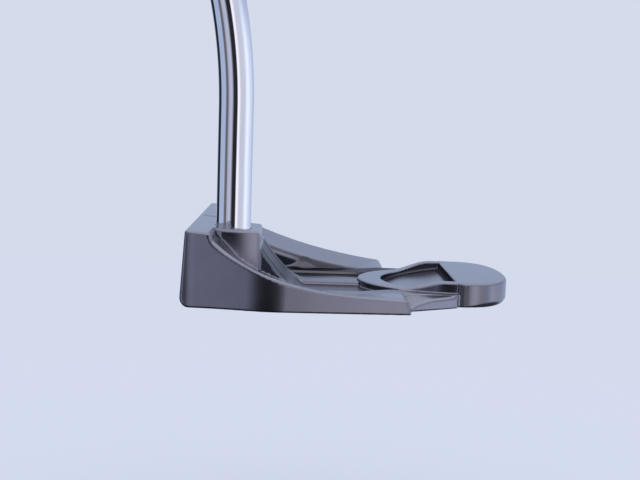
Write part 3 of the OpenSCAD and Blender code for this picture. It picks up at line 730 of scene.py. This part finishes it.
# Grip
# A moulded rubber pistol grip: flat front, rounded back that swells under the hands, rows of small pips
# moulded on it for hold. It is slid over the tape, and its mouth is rounded.
GRIP_LEN, GRIP_ROWS, GRIP_SIDES, MOUTH_ROUND = 262, 130, 96, 2.2
GRIP_HALF_W, GRIP_FRONT, GRIP_BACK = (9.8, 13.2), (9.4, 11.4), (9.8, 13.0)
BACK_SWELL, TAPE_T, MOUTH_DRAW = 4.1, 0.2, 0.16
grip_place = (Matrix.Translation(upper_start * MM) @ Matrix.Rotation(LIE_LEAN, 4, "X")
              @ Matrix.Translation((0, 0, (UPPER_LEN - GRIP_LEN) * MM)))


def grip_point(t, a):
    """A point of the grip's skin, in millimetres across it, at t from mouth to butt and angle a."""
    half = GRIP_HALF_W[0] + (GRIP_HALF_W[1] - GRIP_HALF_W[0]) * ease(t * 1.2)
    front = GRIP_FRONT[0] + (GRIP_FRONT[1] - GRIP_FRONT[0]) * ease(t * 1.3)
    back = GRIP_BACK[0] + (GRIP_BACK[1] - GRIP_BACK[0]) * t
    back = back + BACK_SWELL * ease(t / 0.6) * ease((1.12 - t) / 0.35)
    flatness, depth = (0.55, front) if math.sin(a) >= 0 else (0.95, back)
    return (half * math.copysign(abs(math.cos(a)) ** flatness, math.cos(a)),
            depth * math.copysign(abs(math.sin(a)) ** flatness, math.sin(a)))


def skinned(name, rings):
    """Closed mesh over rings of points, each joined to the next and the last to the first."""
    count = len(rings[0])
    faces = []
    for i in range(len(rings)):
        here, ahead = i * count, (i + 1) % len(rings) * count
        faces += [(here + j, here + (j + 1) % count, ahead + (j + 1) % count, ahead + j)
                  for j in range(count)]
    mesh = bpy.data.meshes.new(name)
    mesh.from_pydata([Vector(p) * MM for ring in rings for p in ring], [], faces)
    mesh.polygons.foreach_set("use_smooth", [True] * len(mesh.polygons))
    return mesh


angles = [2 * math.pi * (j + 0.5) / GRIP_SIDES for j in range(GRIP_SIDES)]
bore = [(math.cos(a) * (BUTT_R + TAPE_T), math.sin(a) * (BUTT_R + TAPE_T)) for a in angles]
rings = [[(x, y, 0) for x, y in bore]]
for k in range(5):
    turn = math.pi / 2 * k / 5
    share = 1 - MOUTH_DRAW * (1 - math.sin(turn))
    rings.append([(x * share, y * share, MOUTH_ROUND * (1 - math.cos(turn)))
                  for x, y in (grip_point(0, a) for a in angles)])
for i in range(GRIP_ROWS + 1):
    t = (MOUTH_ROUND + (GRIP_LEN - MOUTH_ROUND) * i / GRIP_ROWS) / GRIP_LEN
    rings.append([(*grip_point(t, a), t * GRIP_LEN) for a in angles])
rings.append([(x, y, GRIP_LEN) for x, y in bore])
grip_mesh = skinned("moulded_grip", rings)
grip_mesh.transform(grip_place)
grip = bpy.data.objects.new("moulded_grip", grip_mesh)
bpy.context.scene.collection.objects.link(grip)
grip_rubber = textured("grip_rubber", (0.042, 0.042, 0.047), (0.06, 0.06, 0.065), (1500, 1500, 1500),
                       (0.6, 0.78), (0.35, 0.00006))
grip.data.materials.append(grip_rubber)
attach(grip, "club")
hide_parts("grip")

PIP_R, PIP_RISE, PIP_ROWS, PIP_FROM, PIP_PITCH, PIPS_ACROSS = 0.75, 0.5, 62, 18, 3.6, 11
PIP_SWEEP, PIP_NUDGE = np.radians(np.linspace(20, 160, 120)), 0.02
tree, nodes, links, given, sizes = new_tree("grip_pips", ("Pip radius", "NodeSocketFloat"),
                                            ("Pip rise", "NodeSocketFloat"))
pip = nodes.new("GeometryNodeMeshUVSphere")
pip.inputs["Segments"].default_value, pip.inputs["Rings"].default_value = 10, 4
outward = nodes.new("GeometryNodeInputNamedAttribute")
outward.data_type = "FLOAT_VECTOR"
outward.inputs["Name"].default_value = "outward"
aim = nodes.new("FunctionNodeAlignRotationToVector")
flatten = nodes.new("ShaderNodeCombineXYZ")
flatten.inputs["X"].default_value, flatten.inputs["Y"].default_value = 1, 1
spread = nodes.new("GeometryNodeInstanceOnPoints")
smooth = nodes.new("GeometryNodeSetShadeSmooth")
links.new(given.outputs["Pip radius"], pip.inputs["Radius"])
links.new(given.outputs["Pip rise"], flatten.inputs["Z"])
links.new(outward.outputs["Attribute"], aim.inputs["Vector"])
links.new(given.outputs["Geometry"], spread.inputs["Points"])
links.new(pip.outputs["Mesh"], smooth.inputs["Geometry"])
links.new(smooth.outputs["Geometry"], spread.inputs["Instance"])
links.new(aim.outputs["Rotation"], spread.inputs["Rotation"])
links.new(flatten.outputs["Vector"], spread.inputs["Scale"])
end_tree(tree, spread.outputs["Instances"], grip_rubber)

pip_points, pip_ways = [], []
for i in range(PIP_ROWS):
    height = PIP_FROM + PIP_PITCH * i
    t = height / GRIP_LEN
    skin = np.array([grip_point(t, a) for a in PIP_SWEEP])
    run = np.append(0, np.cumsum(np.hypot(*np.diff(skin, axis=0).T)))
    for j in range(PIPS_ACROSS):
        a = np.interp((j + 0.5 * (i % 2)) / (PIPS_ACROSS - 0.5) * run[-1], run, PIP_SWEEP)
        x, y = grip_point(t, a)
        x0, y0 = grip_point(t, a - PIP_NUDGE)
        x1, y1 = grip_point(t, a + PIP_NUDGE)
        pip_points.append(Vector((x, y, height)) * MM)
        pip_ways.append(Vector((y1 - y0, x0 - x1, 0)).normalized())
pip_mesh = bpy.data.meshes.new("grip_pips")
pip_mesh.from_pydata(pip_points, [], [])
facing = pip_mesh.attributes.new("outward", "FLOAT_VECTOR", "POINT")
facing.data.foreach_set("vector", [c for way in pip_ways for c in way])
pips = grown("grip_pips", pip_mesh, tree, zip(sizes, (PIP_R * MM, PIP_RISE)))
pips.data.transform(grip_place)
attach(pips, "club")

# Grip cap
# The moulded rubber end of the grip, rounded over, with a vent hole that lets the air out as the grip
# is slid on. It is fused to the grip's butt.
CAP_T, CAP_ROUND, CAP_DRAW, VENT_R, VENT_EDGE = 4.0, 2.6, 0.2, 1.2, 0.3
cap_edge = [grip_point(1, a) for a in angles]
vent = [(math.cos(a) * VENT_R, math.sin(a) * VENT_R) for a in angles]
rings = [[(x, y, GRIP_LEN) for x, y in cap_edge]]
for k in range(9):
    turn = math.pi / 2 * k / 8
    share = 1 - CAP_DRAW * (1 - math.cos(turn))
    rings.append([(x * share, y * share, GRIP_LEN + CAP_T - CAP_ROUND * (1 - math.sin(turn)))
                  for x, y in cap_edge])
cap_flat = [(x * (1 - CAP_DRAW), y * (1 - CAP_DRAW)) for x, y in cap_edge]
for share in (0.72, 0.4, 0.06):
    rings.append([(v[0] + (e[0] - v[0]) * share, v[1] + (e[1] - v[1]) * share, GRIP_LEN + CAP_T)
                  for v, e in zip(vent, cap_flat)])
rings.append([(x, y, GRIP_LEN + CAP_T - VENT_EDGE) for x, y in vent])
rings.append([(x, y, GRIP_LEN) for x, y in vent])
cap_mesh = skinned("moulded_cap", rings)
cap_mesh.transform(grip_place)
cap = bpy.data.objects.new("moulded_cap", cap_mesh)
bpy.context.scene.collection.objects.link(cap)
cap.data.materials.append(textured("cap_rubber", (0.05, 0.05, 0.055), (0.068, 0.068, 0.073), (700, 700, 700),
                                   (0.5, 0.66), (0.2, 0.00005)))
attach(cap, "club")
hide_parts("grip_cap")

# Floor
# A plain pale sheet under the held club, low enough for the weights to come out of the sole. The camera
# sees it in one even tone, with the club's shadow left in, and the metal sees past it.
PALE = (0.66, 0.706, 0.828, 1)
FLOOR_Z, FLOOR_R, FLOOR_SIDES = -0.08, 3.0, 96
floor_mesh = bpy.data.meshes.new("floor")
floor_angles = [math.tau * k / FLOOR_SIDES for k in range(FLOOR_SIDES)]
floor_mesh.from_pydata([(FLOOR_R * math.cos(a), FLOOR_R * math.sin(a), FLOOR_Z) for a in floor_angles],
                       [], [tuple(range(FLOOR_SIDES))])
floor = bpy.data.objects.new("floor", floor_mesh)
bpy.context.scene.collection.objects.link(floor)
sheet = bpy.data.materials.new("pale_sheet")
sheet.use_nodes = True
nodes, links = sheet.node_tree.nodes, sheet.node_tree.links
nodes.remove(nodes["Principled BSDF"])
place = nodes.new("ShaderNodeTexCoord")
distance = nodes.new("ShaderNodeVectorMath")
distance.operation = "LENGTH"
fade = nodes.new("ShaderNodeMapRange")
fade.inputs["From Min"].default_value, fade.inputs["From Max"].default_value = 0.15, 0.9
fade.inputs["To Min"].default_value, fade.inputs["To Max"].default_value = 0.4, 0
matt = nodes.new("ShaderNodeBsdfDiffuse")
matt.inputs["Color"].default_value = (0.55, 0.59, 0.69, 1)
even = nodes.new("ShaderNodeEmission")
even.inputs["Color"].default_value = PALE
shaded = nodes.new("ShaderNodeMixShader")
ray = nodes.new("ShaderNodeLightPath")
seen = nodes.new("ShaderNodeMixShader")
links.new(place.outputs["Object"], distance.inputs[0])
links.new(distance.outputs["Value"], fade.inputs["Value"])
links.new(fade.outputs["Result"], shaded.inputs["Fac"])
links.new(even.outputs[0], shaded.inputs[1])
links.new(matt.outputs[0], shaded.inputs[2])
links.new(ray.outputs["Is Camera Ray"], seen.inputs["Fac"])
links.new(matt.outputs[0], seen.inputs[1])
links.new(shaded.outputs[0], seen.inputs[2])
links.new(seen.outputs[0], nodes["Material Output"].inputs["Surface"])
floor.data.materials.append(sheet)
floor.visible_glossy = False

# Studio
# Soft light from all round and above, with dark flags at some bearings, in degrees from the camera's,
# that give the chrome its stripes and the walls their bands. The camera sees a plain pale background.
world = bpy.data.worlds.new("studio")
bpy.context.scene.world = world
world.use_nodes = True
nodes, links = world.node_tree.nodes, world.node_tree.links
light = nodes["Background"]
light_level = nodes.new("ShaderNodeMapRange")
light_level.interpolation_type = "SMOOTHSTEP"
light_level.inputs["From Min"].default_value, light_level.inputs["From Max"].default_value = -0.5, -0.26
light_level.inputs["To Min"].default_value = 0.12
place = nodes.new("ShaderNodeTexCoord")
split = nodes.new("ShaderNodeSeparateXYZ")
links.new(place.outputs["Generated"], split.inputs[0])
turn_y = nodes.new("ShaderNodeMath")
turn_y.operation = "MULTIPLY"
turn_y.inputs[1].default_value = -1
links.new(split.outputs["Y"], turn_y.inputs[0])
angle = nodes.new("ShaderNodeMath")
angle.operation = "ARCTAN2"
links.new(split.outputs["X"], angle.inputs[0])
links.new(turn_y.outputs[0], angle.inputs[1])
around = nodes.new("ShaderNodeMapRange")
around.inputs["From Min"].default_value, around.inputs["From Max"].default_value = -math.pi, math.pi
links.new(angle.outputs[0], around.inputs["Value"])
stripes = nodes.new("ShaderNodeValToRGB")
links.new(around.outputs["Result"], stripes.inputs["Fac"])
BACK, SIDE, FRONT, FAR = (0.52, 0.61, 0.83), (0.84, 0.86, 1.08), (1.04, 1.01, 1.13), (0.93, 0.98, 1.15)
FLAGS = ((-180, 1.0, BACK), (-150, 1.0, BACK), (-146, 0.05, BACK), (-112, 0.05, BACK), (-108, 1.1, BACK),
         (-69, 1.1, BACK), (-65, 0.2, FRONT), (-50, 0.2, FRONT), (-46, 0.7, SIDE), (-30, 0.85, SIDE),
         (-24, 0.85, SIDE), (-12, 0.03, FRONT), (10, 0.03, FRONT), (16, 1.45, FRONT), (23, 1.3, FRONT),
         (34, 0.85, FRONT), (60, 0.9, FAR), (84, 1.45, FAR), (100, 1.2, FAR), (150, 1.1, BACK),
         (180, 1.0, BACK))
stops = stripes.color_ramp.elements
for k, (degrees, level, tint) in enumerate(FLAGS):
    at = (degrees + 180) / 360
    stop = stops[k] if k < 2 else stops.new(at)
    stop.position = at
    stop.color = (*(level * c for c in tint), 1)
above = nodes.new("ShaderNodeMapRange")
above.interpolation_type = "SMOOTHSTEP"
above.inputs["From Min"].default_value, above.inputs["From Max"].default_value = 0.14, 0.34
links.new(split.outputs["Z"], above.inputs["Value"])
links.new(split.outputs["Z"], light_level.inputs["Value"])
links.new(light_level.outputs["Result"], light.inputs["Strength"])
dome = nodes.new("ShaderNodeMix")
dome.data_type = "RGBA"
dome_in = {socket.identifier: socket for socket in dome.inputs}
sky = nodes.new("ShaderNodeValToRGB")
sky.color_ramp.elements[0].position, sky.color_ramp.elements[1].position = 0.3, 0.75
sky.color_ramp.elements[0].color = (0.5, 0.6, 0.82, 1)
sky.color_ramp.elements[1].color = (1.5, 1.48, 1.55, 1)
links.new(split.outputs["Z"], sky.inputs["Fac"])
links.new(sky.outputs["Color"], dome_in["B_Color"])
links.new(above.outputs["Result"], dome_in["Factor_Float"])
links.new(stripes.outputs["Color"], dome_in["A_Color"])
links.new(next(s for s in dome.outputs if s.identifier == "Result_Color"), light.inputs["Color"])
ray = nodes.new("ShaderNodeLightPath")
plain = nodes.new("ShaderNodeBackground")
plain.inputs["Color"].default_value = PALE
seen = nodes.new("ShaderNodeMixShader")
links.new(ray.outputs["Is Camera Ray"], seen.inputs["Fac"])
links.new(light.outputs[0], seen.inputs[1])
links.new(plain.outputs[0], seen.inputs[2])
links.new(seen.outputs[0], nodes["World Output"].inputs["Surface"])

# Camera
# At the photograph's place: low on the heel side, a little above the head and looking down at it. Its
# bearing comes from the point where lines along the head from heel to toe would meet in the picture.
camera_data = bpy.data.cameras.new("camera")
camera = bpy.data.objects.new("camera", camera_data)
bpy.context.scene.collection.objects.link(camera)
IMAGE_W, FOCAL_PX, VANISH = 640, 1289, Vector((-20, 129.9))
CAMERA_AT, ROLL = (0, -0.3724, 0.0519), math.radians(2)
camera_data.sensor_width = 36
camera_data.lens = FOCAL_PX / IMAGE_W * camera_data.sensor_width
along = Vector((VANISH.x, VANISH.y, -FOCAL_PX)).normalized()
across = Vector((math.cos(ROLL), -math.sin(ROLL), 0))
across = (across - across.dot(along) * along).normalized()
turned = Matrix((across, along, across.cross(along)))
camera.matrix_world = Matrix.Translation(CAMERA_AT) @ turned.to_4x4()
bpy.context.scene.camera = camera
bpy.context.scene.view_settings.view_transform = "Standard"
